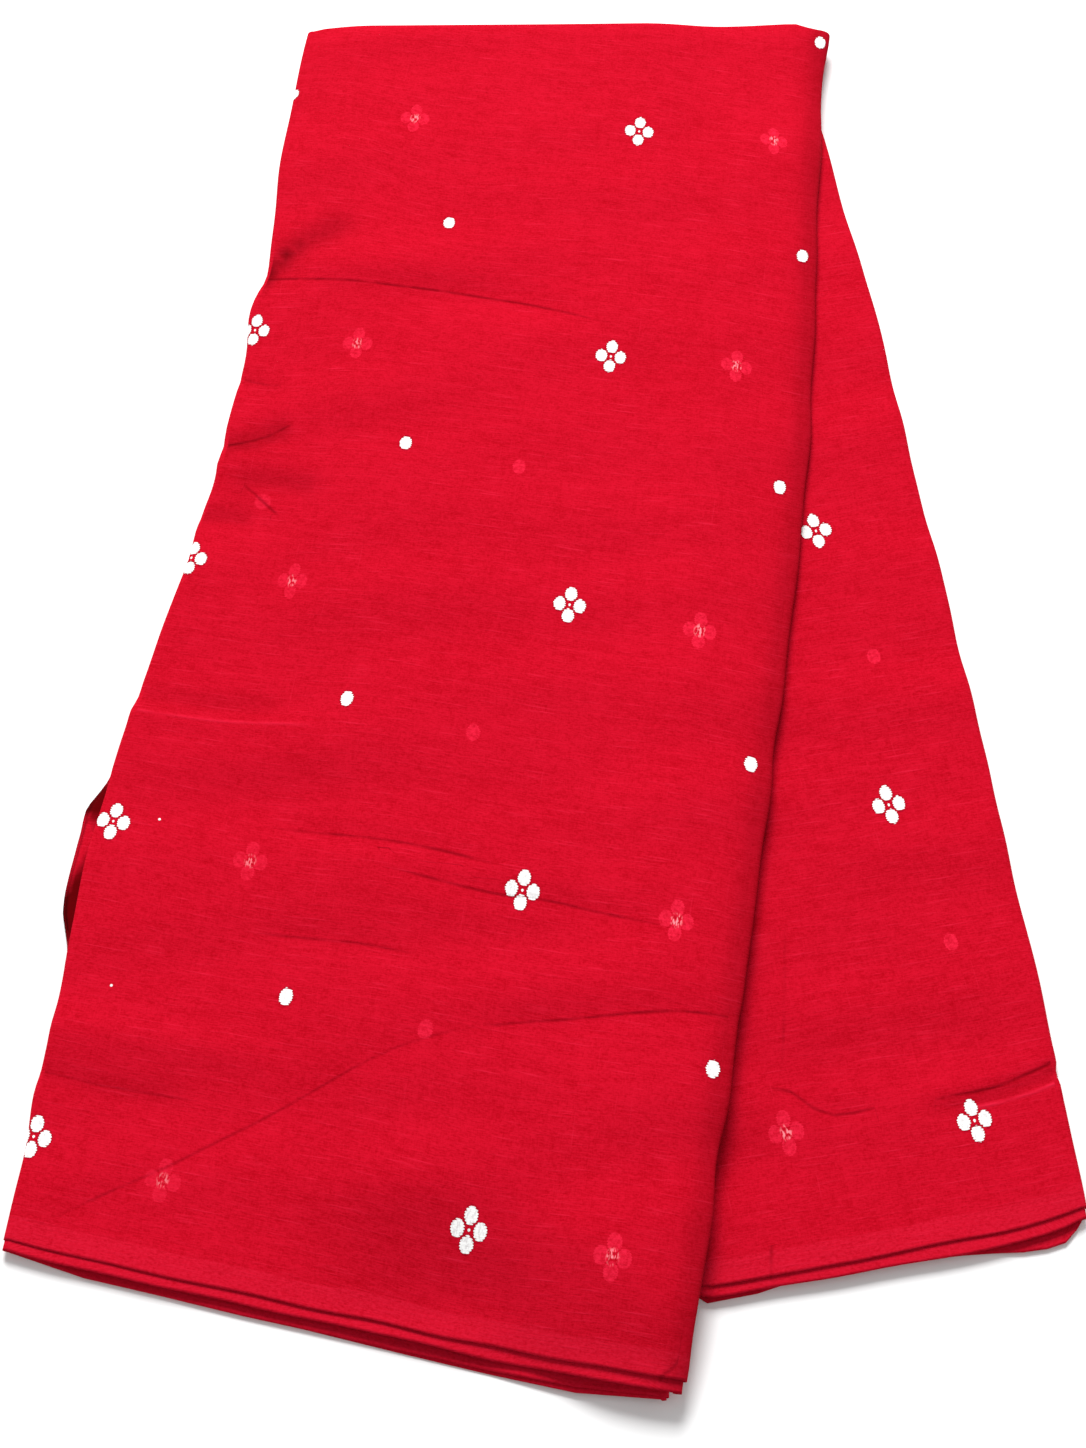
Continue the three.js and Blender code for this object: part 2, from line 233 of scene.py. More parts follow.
creaseForm = {
    "samples": 41,  # points at which a line is sampled
    "rounding": 7,  # of them in the running mean that rounds its corners
    "ends": 0.2,  # share of a line over which either end fades
    "stepWide": 1.2,
    "stepSink": 18,  # a step sinks away over this distance behind its line
    "claim": 12,  # how far a line claims the points about it
    "markFrom": 1.5,  # a sharp line is full dark up to this distance from it
    "markFade": 4,  # and this much further its mark is gone
    "unmarked": 50.0,  # distance given to a point that no line claims
}
# Long waves of the lying cloth, which cross the panels: how long, how steep and how askew.
waves = {"count": 16, "length": (16, 70), "steepness": 0.0024, "askew": 0.2, "seed": 5}


# From a at share 0 in a straight line to b at share 1.
def mix(a, b, share):
    return a + (b - a) * share


# exp(-(offset / spread)^2)
def bell(offset, spread):
    return np.exp(-((offset / spread) ** 2))


# 1 at or before the start, sinking as 1 - 3s^2 + 2s^3 to 0 at share 1.
def fadeOut(share):
    s = np.clip(share, 0, 1)
    return 1 - s * s * (3 - 2 * s)


# Straight from the far to the near end, with a bell for each of the line's waves.
def lineX(name, y):
    line = foldLines[name]
    (farX, farY), (nearX, nearY) = line["far"], line["near"]
    t = (farY - y) / (farY - nearY)
    swing = sum(w["out"] * bell(t - w["at"], w["spread"]) for w in edgeWaves if w["line"] == name)
    return mix(farX, nearX, t) + line["outward"] * swing


# How far a panel's near end is drawn up: a fade from each of its two lines.
def drawnUp(panel, f):
    first = foldLines[panel["from"]]["drawUp"] * fadeOut(f / panel["evenOut"])
    return first + foldLines[panel["to"]]["drawUp"] * fadeOut((1 - f) / panel["evenOut"])


# 1 wherever a panel lies: the product of a fade past its sides, its far and its near end.
def cover(panel, x, y):
    first, last = foldLines[panel["from"]], foldLines[panel["to"]]
    firstX, lastX = lineX(panel["from"], y), lineX(panel["to"], y)
    f = np.clip((x - firstX) / (lastX - firstX), 0, 1)
    drape = cloth["tuckDrape"] if panel["name"] == "tuck" else cloth["sideDrape"]
    sidePast = np.maximum(np.minimum(firstX, lastX) - x, x - np.maximum(firstX, lastX))
    farPast = y - mix(first["far"][1], last["far"][1], f)
    nearPast = mix(first["near"][1], last["near"][1], f) + drawnUp(panel, f) - y
    side = fadeOut((sidePast - cloth["sideMargin"]) / drape)
    far = fadeOut((farPast - cloth["endMargin"]) / cloth["endDrape"])
    near = fadeOut((nearPast - cloth["endMargin"]) / cloth["endDrape"])
    return side * far * near


# Distance from a crease's line, above 0 on its left as the line runs, and a share that fades
# in and out at its ends. The line is sampled by length and rounded by a running mean.
def creasePlace(crease, x, y):
    corners = np.array(crease["line"], float)
    walked = np.concatenate([[0], np.cumsum(np.linalg.norm(np.diff(corners, axis=0), axis=1))])
    steps = np.linspace(0, walked[-1], creaseForm["samples"])
    line = np.stack([np.interp(steps, walked, corners[:, axis]) for axis in (0, 1)], axis=-1)
    count, end = creaseForm["rounding"], creaseForm["ends"]
    longer = np.pad(line, ((count // 2, count // 2), (0, 0)), "reflect", reflect_type="odd")
    mean = np.full(count, 1 / count)
    line = np.stack([np.convolve(longer[:, axis], mean, "valid") for axis in (0, 1)], axis=-1)
    way = np.gradient(line, axis=0)
    way /= np.linalg.norm(way, axis=1, keepdims=True)
    off = np.stack([x, y], axis=-1)[..., None, :] - line
    nearest = np.argmin((off ** 2).sum(axis=-1), axis=-1)
    off = np.take_along_axis(off, nearest[..., None, None], axis=-2)[..., 0, :]
    way = way[nearest]
    away = way[..., 0] * off[..., 1] - way[..., 1] * off[..., 0]
    share = (steps[nearest] + (way * off).sum(axis=-1)) / walked[-1]
    return away, fadeOut(1 - share / end) * fadeOut((share - (1 - end)) / end)


# A sum of sine waves: length * steepness * sin(2 pi * (x * sin(askew) + y * cos(askew)) / length).
def unevenness(x, y):
    picks = np.random.default_rng(waves["seed"])
    total = np.zeros_like(x)
    for _ in range(waves["count"]):
        length, start = picks.uniform(*waves["length"]), picks.uniform(0, 2 * np.pi)
        askew = picks.normal(0, waves["askew"])
        run = x * np.sin(askew) + y * np.cos(askew)
        total += length * waves["steepness"] * np.sin(2 * np.pi * run / length + start)
    return total


# A crease is high * bell(distance) and its step step * (1 + tanh(distance)) / 2, which sinks
# away behind it. The droop is a bell of the distance to its fold.
def relief(panel, x, y):
    total = unevenness(x, y) if panel["name"] in ("front", "side") else np.zeros_like(x)
    for crease in creases:
        if crease["panel"] == panel["name"]:
            away, ends = creasePlace(crease, x, y)
            total += crease["high"] * bell(away, crease["wide"]) * ends
            rise = (1 + np.tanh(away / creaseForm["stepWide"])) / 2
            total += crease["step"] * rise * bell(np.maximum(away, 0), creaseForm["stepSink"]) * ends
    if foldDroop["line"] in (panel["from"], panel["to"]):
        total -= foldDroop["down"] * bell(x - lineX(foldDroop["line"], y), foldDroop["wide"])
    return total


# Places of some stations' points as the fold lines have them.
def drawnPlaces(points, stations):
    return points[stations, :, 0] + cloth["centre"][0], points[stations, :, 1] + cloth["centre"][1]


# Painted soft shade on a panel: a bell about each crease that has some, and about the front's rounded fold.
def softShade(points, names):
    total = np.zeros(points.shape[:2])
    for crease in creases:
        if crease["shade"]:
            own = np.flatnonzero(names == crease["panel"])
            away, ends = creasePlace(crease, *drawnPlaces(points, own))
            total[own] += crease["shade"] * bell(away, crease["wide"]) * ends
    # Painted shade along the front's rounded fold, from the last tuck station to the last front station.
    shadedFoldOrRaggedRim = slice(np.flatnonzero(names == "tuck")[-1], np.flatnonzero(names == "front")[-1] + 1)
    x, y = drawnPlaces(points, shadedFoldOrRaggedRim)
    inside = np.minimum(x - lineX(foldDroop["line"], y), 0)
    total[shadedFoldOrRaggedRim] += foldDroop["shade"] * bell(inside, foldDroop["shadeWide"])
    return total


# How far off the nearest sharp crease line is, and how dark its painted shade (below 0, its painted
# highlight), for every point of the sheet.
def creaseMarks(points, names, layer):
    away = np.full(points.shape[:2], creaseForm["unmarked"])
    dark, score = np.zeros(points.shape[:2]), np.zeros(points.shape[:2])
    for crease in creases:
        if crease["dark"] and crease["layer"] == layer:
            own = np.flatnonzero(names == crease["panel"])
            off, ends = creasePlace(crease, *drawnPlaces(points, own))
            closeness = bell(off, creaseForm["claim"]) * (ends > 0)
            better = closeness > score[own]
            mark = fadeOut((np.abs(off) - creaseForm["markFrom"]) / creaseForm["markFade"])
            away[own] = np.where(better, off, away[own])
            dark[own] = np.where(better, crease["dark"] * ends * mark, dark[own])
            score[own] = np.where(better, closeness, score[own])
    return away, dark


# How far the gaping fold slips out: out * (bell about the flap - a share of that about the groove).
def pocketOut(t, turn):
    flap, groove = (bell(turn - at, spread) for at, spread in (pocket["flap"], pocket["groove"]))
    return np.interp(t, pocket["at"], pocket["out"]) * (flap - pocket["grooveShare"] * groove)


# Painted shade in the hollow: 1 from the front's edge round the fold to where the flap begins.
def pocketShade(t, turn):
    depth = np.clip(np.interp(t, pocket["at"], pocket["out"]) / pocket["darkSlip"], 0, 1)
    start, startFade = pocket["darkFrom"]
    until = np.interp(t, pocket["at"], pocket["dark"])
    return depth * fadeOut((start - turn) / startFade) * fadeOut((turn - until) / pocket["darkFade"])


# A panel's middle rests on every panel that covers the place beneath it, and has its relief.
def height(panel, x, y):
    beneath = sum(cover(other, x, y) for other in panels if other["stack"] < panel["stack"])
    lowest = (cloth["plySpacing"] + cloth["thickness"]) / 2
    return lowest + cloth["panelSpacing"] * beneath + relief(panel, x, y)


# Columns of a panel at shares f of its width, as far and near ends, length and direction.
def panelColumns(panel, f):
    first, last = foldLines[panel["from"]], foldLines[panel["to"]]
    farX, farY = mix(first["far"][0], last["far"][0], f), mix(first["far"][1], last["far"][1], f)
    nearX, nearY = mix(first["near"][0], last["near"][0], f), mix(first["near"][1], last["near"][1], f)
    length = np.hypot(farX - nearX, farY - nearY)
    return {"f": f, "farY": farY, "nearY": nearY, "length": length,
            "way": np.stack([(farX - nearX) / length, (farY - nearY) / length], axis=-1)}


# The share of a column at which each row lies: rows run from the eased far corner, or the sag
# farSag * (1 - (2f - 1)^sagPower), to the near end, and the selvedge's hang, bow and lips grow
# as row^hangPower.
def rowPlaces(panel, columns, rows, inner):
    first, last = foldLines[panel["from"]], foldLines[panel["to"]]
    f, length = columns["f"][:, None], columns["length"][:, None]
    width = abs(first["far"][0] - last["far"][0])
    easing = first["ease"] * fadeOut(f * width / (cloth["easeReach"] * first["ease"] + 1))
    easing = easing + last["ease"] * fadeOut((1 - f) * width / (cloth["easeReach"] * last["ease"] + 1))
    easing = easing + panel.get("farSag", 0) * (1 - (2 * f - 1) ** cloth["sagPower"])
    common = mix(easing, length - drawnUp(panel, f), rows)
    side = "inner" if inner else "outer"
    hang = mix(first[side], last[side], f)
    picks = np.random.default_rng(2 * panel["stack"] + inner)
    ripple = sum(np.sin(picks.uniform(*ripples["turn"]) * f + picks.uniform(*ripples["start"]))
                 for _ in range(ripples["count"]))
    bow = (panel[side + "Bow"] + ripples["high"] * ripple) * (1 - (2 * f - 1) ** cloth["bowPower"])
    slipped = sum(lip["out"][inner] * bell(f - lip["at"], lip["spread"])
                  for lip in lips if lip["panel"] == panel["name"])
    slipped = slipped * fadeOut(1 - f / cloth["lipStart"])
    return (common + (hang + bow + slipped) * rows ** cloth["hangPower"]) / length


# One ply's points on a panel, or part way round the fold that follows it (turn from 0 to 1).
# A panel is flat on its height with its plies half a spacing above and below. A fold is a
# half circle from one height to the next one, swollen sideways.
def plyPoints(panel, nextPanel, columns, turn, rows, inner, acrossWay):
    t = rowPlaces(panel, columns, rows, inner)
    y = mix(columns["farY"][:, None], columns["nearY"][:, None], t)
    f = columns["f"][:, None]
    x = mix(lineX(panel["from"], y), lineX(panel["to"], y), f)
    level = height(panel, x, y)
    closed = mix(panel["closed"][0], panel["closed"][1], f) * rows ** cloth["closePower"]
    reach = (cloth["plySpacing"] / 2 * (1 - closed))[..., None]
    way = columns["way"][:, None, :]
    if nextPanel is None:
        up = np.stack([np.zeros_like(x), np.zeros_like(x), np.full_like(x, panel["facing"])], axis=-1)
        centre = np.stack([x, y, level], axis=-1)
    else:
        nextLevel = height(nextPanel, x, y)
        radius, rise = np.abs(level - nextLevel) / 2, np.sign(level - nextLevel)
        angle = np.pi * turn[:, None]
        outward = foldLines[panel["to"]]["outward"]
        sideways = np.stack([way[..., 1], -way[..., 0], np.zeros_like(way[..., 0])], axis=-1) * outward
        swell = foldLines[panel["to"]]["swell"] * radius * np.sin(angle)
        if panel["to"] == pocket["line"]:
            swell = swell + pocketOut(t, turn[:, None])
        centre = np.stack([x, y, (level + nextLevel) / 2 + rise * radius * np.cos(angle)], axis=-1)
        centre = centre + sideways * swell[..., None]
        up = sideways * (panel["facing"] * rise * np.sin(angle))[..., None]
        up[..., 2] += panel["facing"] * np.cos(angle)
    flatWay = np.concatenate([way, np.zeros_like(way[..., :1])], axis=-1)
    upShare, wayShare = np.cos(acrossWay)[None, :, None], np.sin(acrossWay)[None, :, None]
    return centre + reach * (up * upShare + flatWay * wayShare)


# All stations of the strip, each a row of points from the outer selvedge over the doubling
# fold to the inner selvedge.
def sheetPoints():
    shares = np.interp(np.linspace(0, 1, cloth["rows"]), rowShares["row"], rowShares["length"])
    half = cloth["farSteps"] // 2
    bend = np.pi * np.arange(1, cloth["farSteps"] + 1) / (cloth["farSteps"] + 1)
    outerRows = np.concatenate([shares[::-1], np.zeros(half)])
    outerBend = np.concatenate([np.zeros(cloth["rows"]), bend[:half]])
    innerRows = np.concatenate([np.zeros(cloth["farSteps"] - half), shares])
    innerBend = np.concatenate([bend[half:], np.full(cloth["rows"], np.pi)])
    stations, names, paintedShade = [], [], []
    for index, panel in enumerate(panels):
        f = np.linspace(0, 1, panel["columns"] + 1) ** panel.get("crowd", 1)
        parts = [(None, f, None)]
        if panel["turns"]:
            turn = np.arange(1, panel["turns"]) / panel["turns"]
            parts.append((panels[index + 1], np.ones(panel["turns"] - 1), turn))
        for nextPanel, f, turn in parts:
            columns = panelColumns(panel, f)
            outer = plyPoints(panel, nextPanel, columns, turn, outerRows, False, outerBend)
            inner = plyPoints(panel, nextPanel, columns, turn, innerRows, True, innerBend)
            stations.append(np.concatenate([outer, inner], axis=1))
            names += [panel["name"] if nextPanel is None else "turn"] * len(f)
            # Painted shade in the hollow of the gaping fold, on its turning stations.
            shade = np.zeros(stations[-1].shape[:2])
            if nextPanel and panel["to"] == pocket["line"]:
                places = rowPlaces(panel, columns, np.concatenate([outerRows, innerRows]), False)
                shade = pocketShade(places, turn[:, None])
            paintedShade.append(shade)
    points = np.concatenate(stations)
    points[..., :2] -= cloth["centre"]
    return points, np.array(names), len(outerRows), np.concatenate(paintedShade)


# Place in the woven repeat, in metres, for every point. On the panel that shows, it follows
# the formula above. The other ply mirrors it about the doubling fold, and the strip carries
# on from the panel's two edges by its own length.
def weavePlaces(points, names, outerCount, lay, shifted):
    own = np.flatnonzero(names == lay["panel"])
    x, y = drawnPlaces(points, own)
    cells = [at + x * perX + y * perY + x * y * twist + y * y * bow for at, perX, perY, twist, bow
             in zip(lay["at"], lay["perX"], lay["perY"], lay["twist"], lay["bow"])]
    size = np.array([repeat["across"], repeat["down"]])
    if shifted:
        cells = [cell - off for cell, off in zip(cells, lay["beneath"])]
    places = np.stack(cells, axis=-1) * size
    even = places.copy()
    for across, down, offAcross, offDown in drift[lay["panel"] + (" beneath" if shifted else " weave")]:
        away = np.linalg.norm(even - np.array([across, down]) * size, axis=-1)
        places += bell(away, drift["spread"])[..., None] * np.array([offAcross, offDown])
    mirrored = slice(0, outerCount) if lay["inner"] else slice(outerCount, None)
    foldPlace = places[:, outerCount:outerCount + 1, 1]
    places[:, mirrored, 1] = 2 * foldPlace - places[:, mirrored, 1]
    steps = np.linalg.norm(np.diff(points, axis=0), axis=-1)
    full = np.zeros(points.shape[:2] + (2,))
    full[own] = places
    sense = np.sign(places[-1, :, 0] - places[0, :, 0])
    after = np.cumsum(steps[own[-1]:], axis=0)
    before = np.cumsum(steps[:own[0]][::-1], axis=0)[::-1]
    full[own[-1] + 1:] = places[-1]
    full[own[-1] + 1:, :, 0] += sense * after
    full[:own[0]] = places[0]
    full[:own[0], :, 0] -= sense * before
    return full / 1000


# The weave and the one beneath it as UV maps. Each half of the strip has its own place in the
# repeat, and they meet beneath the front.
def layWeave(mesh, points, names, outerCount, quads):
    count, span = points.shape[:2]
    seam = np.flatnonzero(names == "frontUnder")[-1]
    stationOfQuad = np.repeat(np.arange(count - 1), span - 1)
    onSide = np.repeat(stationOfQuad >= seam, 4)[:, None]
    corners = quads.reshape(-1)
    for name in ("weave", "beneath"):
        side, front = (weavePlaces(points, names, outerCount, lie[key], name == "beneath")
                       for key in ("side", "front"))
        values = np.where(onSide, side.reshape(-1, 2)[corners], front.reshape(-1, 2)[corners])
        layer = mesh.uv_layers.new(name=name)
        layer.uv.foreach_set("vector", values.astype(np.float32).ravel())


# How far each point is from its selvedge and from the nearest crease lines, and how much painted shade it
# has.
def layMarks(mesh, points, names, paintedShade, outerWay):
    marks = {"toSelvedge": np.minimum(outerWay, outerWay[:, -1:] - outerWay),
             "paintedShade": np.clip(paintedShade + softShade(points, names), 0, 1)}
    for layer in (0, 1):
        marks[f"creaseAway{layer}"], marks[f"creaseDark{layer}"] = creaseMarks(points, names, layer)
    for name, values in marks.items():
        mark = mesh.attributes.new(name, "FLOAT", "POINT")
        mark.data.foreach_set("value", values.astype(np.float32).ravel())


# The sheet: a grid of stations by points across, joined into quads, with its body added evenly
# to both sides. Its flat size is the mean of its lengths from selvedge to selvedge and along
# the strip.
def makeCloth(material):
    points, names, outerCount, paintedShade = sheetPoints()
    count, span = points.shape[:2]
    print("folds worked out:", count, "stations of", span, "points")
    ids = np.arange(count * span).reshape(count, span)
    quads = np.stack([ids[:-1, :-1], ids[:-1, 1:], ids[1:, 1:], ids[1:, :-1]], axis=-1).reshape(-1, 4)
    mesh = bpy.data.meshes.new("jamdani_sheet")
    mesh.from_pydata((points.reshape(-1, 3) / 1000).tolist(), [], quads.tolist())
    mesh.polygons.foreach_set("use_smooth", np.ones(len(quads), bool))
    layWeave(mesh, points, names, outerCount, quads)
    print("weave laid on the sheet")
    along = np.linalg.norm(np.diff(points, axis=1), axis=-1) / 1000
    outerWay = np.concatenate([np.zeros((count, 1)), np.cumsum(along, axis=1)], axis=1)
    layMarks(mesh, points, names, paintedShade, outerWay)
    print("creases and selvedges marked")
    mesh.materials.append(material)
    mesh.validate()
    piece = bpy.data.objects.new("jamdani_sheet", mesh)
    bpy.context.scene.collection.objects.link(piece)
    body = piece.modifiers.new("cloth body", "SOLIDIFY")
    body.thickness = cloth["thickness"] / 1000
    body.offset = 0
    strip = np.linalg.norm(np.diff(points, axis=0), axis=-1).sum(axis=0) / 1000
    flat = (float(outerWay[:, -1].mean()), float(strip.mean()))
    print("sheet made:", len(quads), "quads, flat", flat)
    return piece, flat


# Shader maths, written as short calls: each returns an output to feed the next one.
class shaderNodes:
    def __init__(self, material):
        material.use_nodes = True
        self.tree = material.node_tree
        self.tree.nodes.clear()

    def add(self, kind, inputs=(), **settings):
        node = self.tree.nodes.new(kind)
        for name, value in settings.items():
            setattr(node, name, value)
        for key, value in dict(inputs).items():
            self.feed(node.inputs[key], value)
        return node

    def feed(self, socket, value):
        if isinstance(value, bpy.types.NodeSocket):
            self.tree.links.new(value, socket)
        else:
            socket.default_value = value

    def maths(self, operation, a, b=0.0, c=0.0):
        return self.add("ShaderNodeMath", {0: a, 1: b, 2: c}, operation=operation).outputs[0]

    # Noise of so many grains to the metre, across and down.
    def noise(self, place, across, down, detail=2.0, rough=0.5):
        scaled = self.add("ShaderNodeVectorMath", {0: place, 1: (across, down, 1)}, operation="MULTIPLY")
        inputs = {"Vector": scaled.outputs[0], "Scale": 1.0, "Detail": detail, "Roughness": rough}
        return self.add("ShaderNodeTexNoise", inputs).outputs["Fac"]

    def ramp(self, value, low, high, toLow=0.0, toHigh=1.0):
        inputs = {"Value": value, "From Min": low, "From Max": high, "To Min": toLow, "To Max": toHigh}
        return self.add("ShaderNodeMapRange", inputs, interpolation_type="SMOOTHSTEP").outputs[0]

    def blend(self, share, a, b):
        node = self.add("ShaderNodeMix", {0: share, 6: a, 7: b}, data_type="RGBA")
        return node.outputs[2]

    def mark(self, name):
        return self.add("ShaderNodeAttribute", attribute_name=name).outputs["Fac"]


# Lengths are in metres. A range says where in a noise or a shape something begins and is full.
cotton = {
    "red": (0.465, 0.0019, 0.0125, 1),
    "paleRed": (0.56, 0.0046, 0.0215, 1),
    "deepRed": (0.38, 0.0007, 0.0066, 1),
    "bandRed": (0.6, 0.0085, 0.031, 1),
    # The slubs' red, also the painted highlight on crease lines that catch the light
    "slubAndCreaseHighlightRed": (0.68, 0.013, 0.045, 1),
    "inlayWhite": (0.88, 0.88, 0.87, 1),
    "inlayShade": (0.7, 0.68, 0.68, 1),
    # Painted shade along the rim where the inlay lies proud
    "inlayRimShade": (0.2, 0, 0.01, 1),
    "ghost": (0.72, 0.0125, 0.043, 1),
    "ghostHeart": (0.92, 0.26, 0.3, 1),
    # Painted shade: on crease lines, and in the hollow, the creases' soft shade and beside the front's fold
    "creaseShadeRed": (0.17, 0, 0.002, 1),
    "paintedShadeRed": (0.1, 0, 0.001, 1),
    "roughness": 0.95,
    "gloss": 0.03,  # how strongly it mirrors
    # Layers of the ground's tone: grains to the metre across and down, detail and share.
    "tones": [(420, 2300, 2, 0.26), (2300, 420, 3, 0.17), (1000, 1250, 3, 0.22), (60, 420, 3, 0.12),
              (420, 40, 3, 0.06), (150, 260, 3, 0.12), (14, 30, 3, 0.08)],
    "toneRough": 0.6,
    "toneRange": (0.41, 0.59),
    "evenShare": 0.2,  # how much of the middle red is in every tone
    "slubs": [
        {"across": 60, "down": 1250, "range": (0.57, 0.8), "most": 0.55},
        {"across": 1150, "down": 34, "range": (0.66, 0.82), "most": 0.3},
    ],
    "band": {"width": 0.0085, "rim": (0.0011, 0.0004), "fray": 0.002, "frayGrains": 45,
             "speckles": (700, 1100), "speckleRange": (0.35, 0.7), "paler": (0.1, 0.8)},
    "plainEdge": (0.0235, 0.024),  # no pattern this close to the selvedge
    "petalHalf": (0.00225, 0.00295),  # half width and half height of a petal
    "petalOut": (0.0038, 0.0046),  # its middle from the flower's middle, sideways and up
    "eyeSmaller": 26,  # a flower's eye has this many times less area than a petal
    "dotHalf": (0.00235, 0.0032),
    "dotAt": (0.5, 0.455),  # the dot's place in a cell of the repeat
    "thread": 0.0009,
    "scallop": 0.34,  # how deep the pattern threads notch a petal's rim
    "scallopMean": 0.216,
    "rimGrains": 900,
    "inlay": {"ragged": 0.6, "outline": (1.5, 1.15), "outlineMost": 0.5, "rim": (1.0, 0.93),
              "yarn": (1500, 500), "yarnRange": (0.4, 0.52)},
    "flecks": [(-0.154, -0.1462), (-0.1415, -0.082)],  # tiny tufts of white yarn
    "fleckSize": 0.0005,
    # The pattern beneath: hidden at a spot and past the far fold, and a petal of a deeper ply.
    "beneath": {"ragged": 0.7, "body": (1.15, 0.9), "rimOuter": (1.3, 1.05), "rimInner": (0.7, 1.0),
                "rimShare": 0.3, "patchGrains": 620, "patchRange": (0.32, 0.66), "patchLeast": 0.15,
                "streaks": (1300, 480), "streakRange": (0.47, 0.6), "streakMost": 0.9,
                "heart": (1.3, 0.1), "sideRange": (-0.19, 0.02), "sideLeast": 0.5,
                "hiddenSpot": (0.0088, 0.176), "hiddenSize": 0.012, "farRange": (0.282, 0.272),
                "straySpot": (-0.1107, 0.053), "straySize": 0.0033, "strayShare": 0.7},
    # A crease's sharp line of painted shade or highlight: its width in millimetres, and how it breaks up
    # along its length.
    "crease": {"width": 0.68, "grains": 90, "breaks": (0.3, 0.6), "least": 0.35, "share": 0.62},
    "relief": {"tone": 0.9, "slubs": 0.3, "inlay": 0.4, "crease": -0.9, "strength": 0.7,
               "distance": 0.0004},
    "spotRim": (1.15, 0.85),  # a spot fades between these shares of its size
}


# Offsets, in metres, from the nearest spot of a lattice of cells: size*(fract(x/size + 1/2 -
# shift) - 1/2), on each axis.
def nearestSpot(nodes, x, y, size, shift):
    found = []
    for value, cell, off in zip((x, y), size, shift):
        share = nodes.maths("FRACT", nodes.maths("MULTIPLY_ADD", value, 1 / cell, 0.5 - off))
        found.append(nodes.maths("MULTIPLY", nodes.maths("SUBTRACT", share, 0.5), cell))
    return found


# (x/halfWidth)^2 + (y/halfHeight)^2
def ellipse(nodes, x, y, half):
    a = nodes.maths("POWER", nodes.maths("MULTIPLY", x, 1 / half[0]), 2)
    return nodes.maths("ADD", a, nodes.maths("POWER", nodes.maths("MULTIPLY", y, 1 / half[1]), 2))


# The inlaid pattern as a value that is below 1 inside a petal or dot: the least of four
# petal ellipses, an eye and a dot, scalloped by a step at every pattern thread and ragged by
# noise. The second value is the ellipse about the flower's heart.
def inlayShape(nodes, uv, look, ragged):
    size = (repeat["across"] / 1000, repeat["down"] / 1000)
    split = nodes.add("ShaderNodeSeparateXYZ", {0: uv})
    u, v = split.outputs[0], split.outputs[1]
    x, y = nearestSpot(nodes, u, v, size, (0, 0))
    sideX = nodes.maths("SUBTRACT", nodes.maths("ABSOLUTE", x), look["petalOut"][0])
    upY = nodes.maths("SUBTRACT", nodes.maths("ABSOLUTE", y), look["petalOut"][1])
    petals = nodes.maths("MINIMUM", ellipse(nodes, sideX, y, look["petalHalf"]),
                         ellipse(nodes, x, upY, look["petalHalf"]))
    heart = ellipse(nodes, x, y, look["petalHalf"])
    eye = nodes.maths("MULTIPLY", heart, look["eyeSmaller"])
    dotX, dotY = nearestSpot(nodes, u, v, size, look["dotAt"])
    flower = nodes.maths("MINIMUM", petals, eye)
    shape = nodes.maths("MINIMUM", flower, ellipse(nodes, dotX, dotY, look["dotHalf"]))
    steps = nodes.maths("ABSOLUTE", nodes.maths("SINE", nodes.maths("MULTIPLY", v, math.pi / look["thread"])))
    uneven = nodes.maths("MULTIPLY", nodes.noise(uv, look["rimGrains"], look["rimGrains"], 1), ragged)
    shadedFoldOrRaggedRim = nodes.maths("MULTIPLY_ADD", steps, look["scallop"], uneven)
    mean = look["scallopMean"] + ragged / 2
    return nodes.maths("ADD", nodes.maths("SUBTRACT", shape, shadedFoldOrRaggedRim), mean), heart


# 1 within a small round spot: the distance to it in the plane, faded out about its size.
def spot(nodes, x, y, at, size, look):
    off = [nodes.maths("SUBTRACT", value, place) for value, place in zip((x, y), at)]
    away = nodes.maths("SQRT", ellipse(nodes, off[0], off[1], (size, size)))
    return nodes.ramp(away, *look["spotRim"])


# The ground: fine threads both ways, weft bands, a little warp and a soft mottle, summed into
# one tone from deep to pale red, and slubs, which are sparse thick stretches of yarn.
def groundColor(nodes, weave, look):
    tone = 0.0
    for across, down, detail, share in look["tones"]:
        layer = nodes.noise(weave, across, down, detail, look["toneRough"])
        tone = nodes.maths("MULTIPLY_ADD", layer, share, tone)
    color = nodes.blend(nodes.ramp(tone, *look["toneRange"]), look["deepRed"], look["paleRed"])
    color = nodes.blend(look["evenShare"], color, look["red"])
    yarns = [nodes.noise(weave, slub["across"], slub["down"]) for slub in look["slubs"]]
    for yarn, slub in zip(yarns, look["slubs"]):
        color = nodes.blend(nodes.ramp(yarn, *slub["range"], 0, slub["most"]), color, look["slubAndCreaseHighlightRed"])
    return color, tone, yarns[0]


# The selvedge: a denser, paler, speckled band of the given width, frayed a little by noise.
def bandColor(nodes, weave, edge, color, look):
    band = look["band"]
    speckles = nodes.noise(weave, *band["speckles"], 3, 0.7)
    fray = nodes.noise(weave, band["frayGrains"], band["frayGrains"])
    frayed = nodes.maths("MULTIPLY_ADD", fray, band["fray"], edge)
    within = nodes.ramp(frayed, *(band["width"] + rim for rim in band["rim"]))
    paler = nodes.maths("MULTIPLY", within, nodes.ramp(speckles, *band["speckleRange"], *band["paler"]))
    return nodes.blend(paler, color, look["bandRed"])


